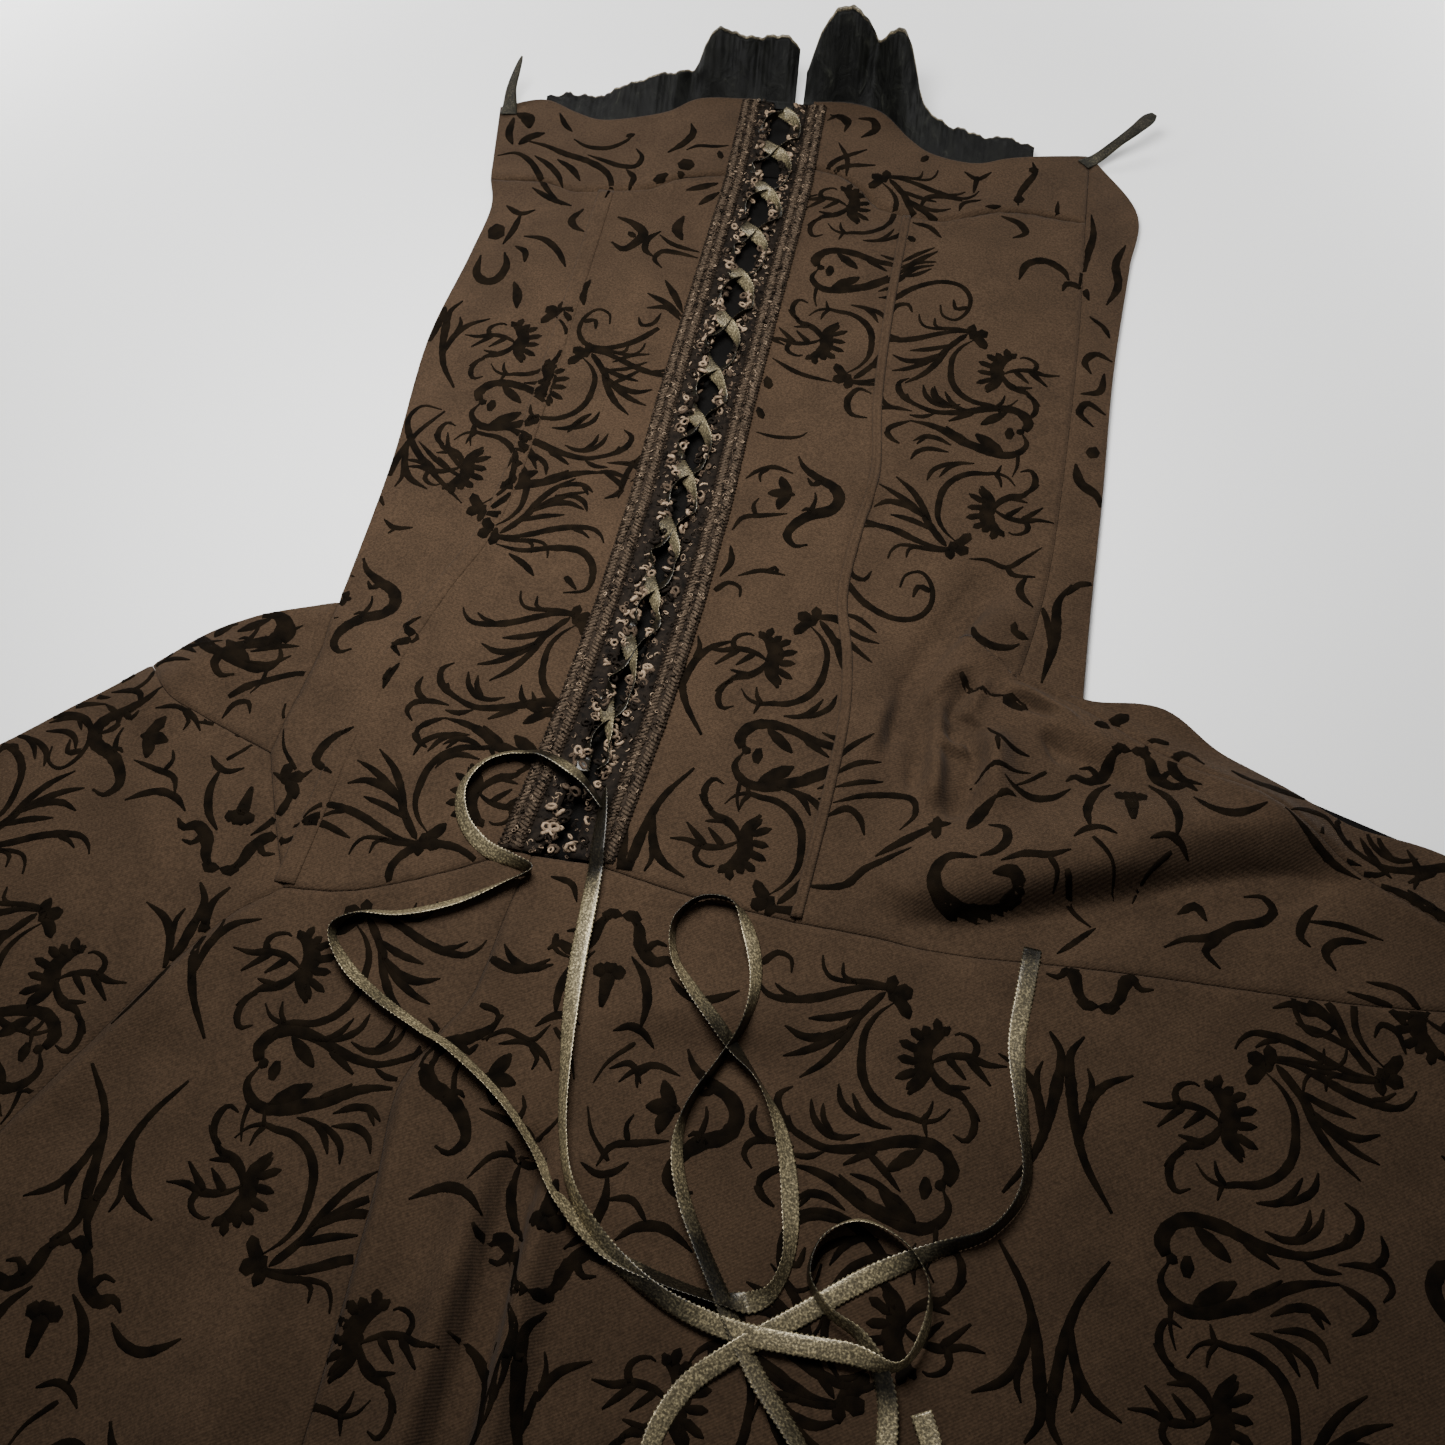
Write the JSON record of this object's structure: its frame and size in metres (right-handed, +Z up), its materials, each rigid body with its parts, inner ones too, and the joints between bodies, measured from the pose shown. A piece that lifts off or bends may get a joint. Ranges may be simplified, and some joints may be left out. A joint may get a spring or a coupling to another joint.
{
  "type": "corset dress",
  "caption": "Strapless long-bodied corset dress laid flat, with a ribbon-laced front strip, a standing neck ruffle, princess seams and a flared skirt.",
  "frame": {"origin": "on the flat underside, below the lower end of the lacing", "axes": "+Z up from the surface that the dress lies on, +Y from the hem to the neckline, +X to the right as seen from above"},
  "size_m": [1.2705, 0.9945, 0.0509],
  "materials": {
    "flocked_cloth": "matte peached brown twill with black flocked scrolls",
    "braid": "matte corded braid",
    "looped_lace": "fuzzy looped lace edging",
    "satin_ribbon": "satin weave with picot edges",
    "ruffle_cloth": "crinkled sheer cloth with a pale edge"
  },
  "bodies": {
    "root": {"bust_band_left": "flocked_cloth", "bust_band_right": "flocked_cloth", "side_front_left": "flocked_cloth", "centre_front_left": "flocked_cloth", "centre_front_right": "flocked_cloth", "side_front_right": "flocked_cloth", "side_godet_left": "flocked_cloth", "side_back_right": "flocked_cloth", "skirt_side_left": "flocked_cloth", "skirt_front_left": "flocked_cloth", "skirt_front_right": "flocked_cloth", "back_bodice": "flocked_cloth", "back_skirt": "flocked_cloth", "boning_channel_left": "flocked_cloth", "boning_channel_right": "flocked_cloth", "braid_left": "braid", "braid_right": "braid", "lace_left": "looped_lace", "lace_right": "looped_lace", "lacing_under": "satin_ribbon", "lacing_over": "satin_ribbon", "neck_ruffle_left": "ruffle_cloth", "neck_ruffle_right": "ruffle_cloth", "hanging_loop_left": "satin_ribbon", "hanging_loop_right": "satin_ribbon", "ribbon_end_left": "satin_ribbon", "ribbon_end_right": "satin_ribbon"}
  },
  "joints": []
}
